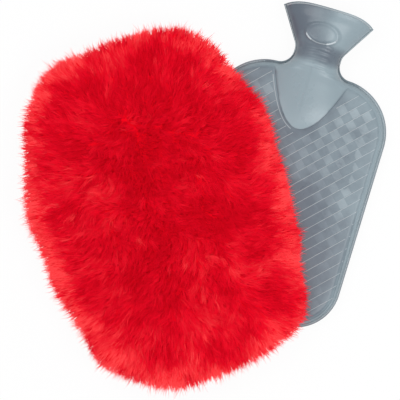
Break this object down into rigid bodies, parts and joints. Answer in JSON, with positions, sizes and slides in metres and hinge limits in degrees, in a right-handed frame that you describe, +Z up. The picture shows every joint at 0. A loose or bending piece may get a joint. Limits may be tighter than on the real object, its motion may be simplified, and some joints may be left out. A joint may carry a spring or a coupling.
{
  "type": "hot water bottle with wool cover",
  "caption": "Flat moulded hot water bottle with a funnel neck and screw stopper, lying under its long-haired wool cover, a soft bag that is open at its head end.",
  "frame": {"origin": "middle of the bottle's flat back, on the surface that the bottle lies on", "axes": "+Y along the bottle from its foot to its funnel, +Z up out of its front panel, +X to its right seen from the front"},
  "size_m": [0.3684, 0.4307, 0.0603],
  "materials": {
    "pvc": "satin translucent grey vinyl",
    "insert": "moulded",
    "stopper": "moulded, satin",
    "washer": "matte",
    "wool": "long dyed lambswool"
  },
  "bodies": {
    "bottle_and_cover": {"bottle": "pvc", "neck_insert": "insert", "cover_upper": "wool", "cover_lower": "wool"},
    "seal": {"sealing_washer": "washer"},
    "plug": {"stopper": "stopper"}
  },
  "joints": [
    {"name": "stopper_travel", "type": "slide", "parent": "bottle_and_cover", "child": "seal", "axis": [0, 1, 0], "range_m": [0, 0.015]},
    {"name": "stopper_turn", "type": "hinge", "parent": "seal", "child": "plug", "pos_m": [0, 0.15837, 0.021], "axis": [0, 1, 0], "range_deg": [0, 1080]}
  ],
  "couplings": [
    {"joint": "stopper_travel", "follows": "stopper_turn", "m_per_rad": 0.00079577}
  ]
}
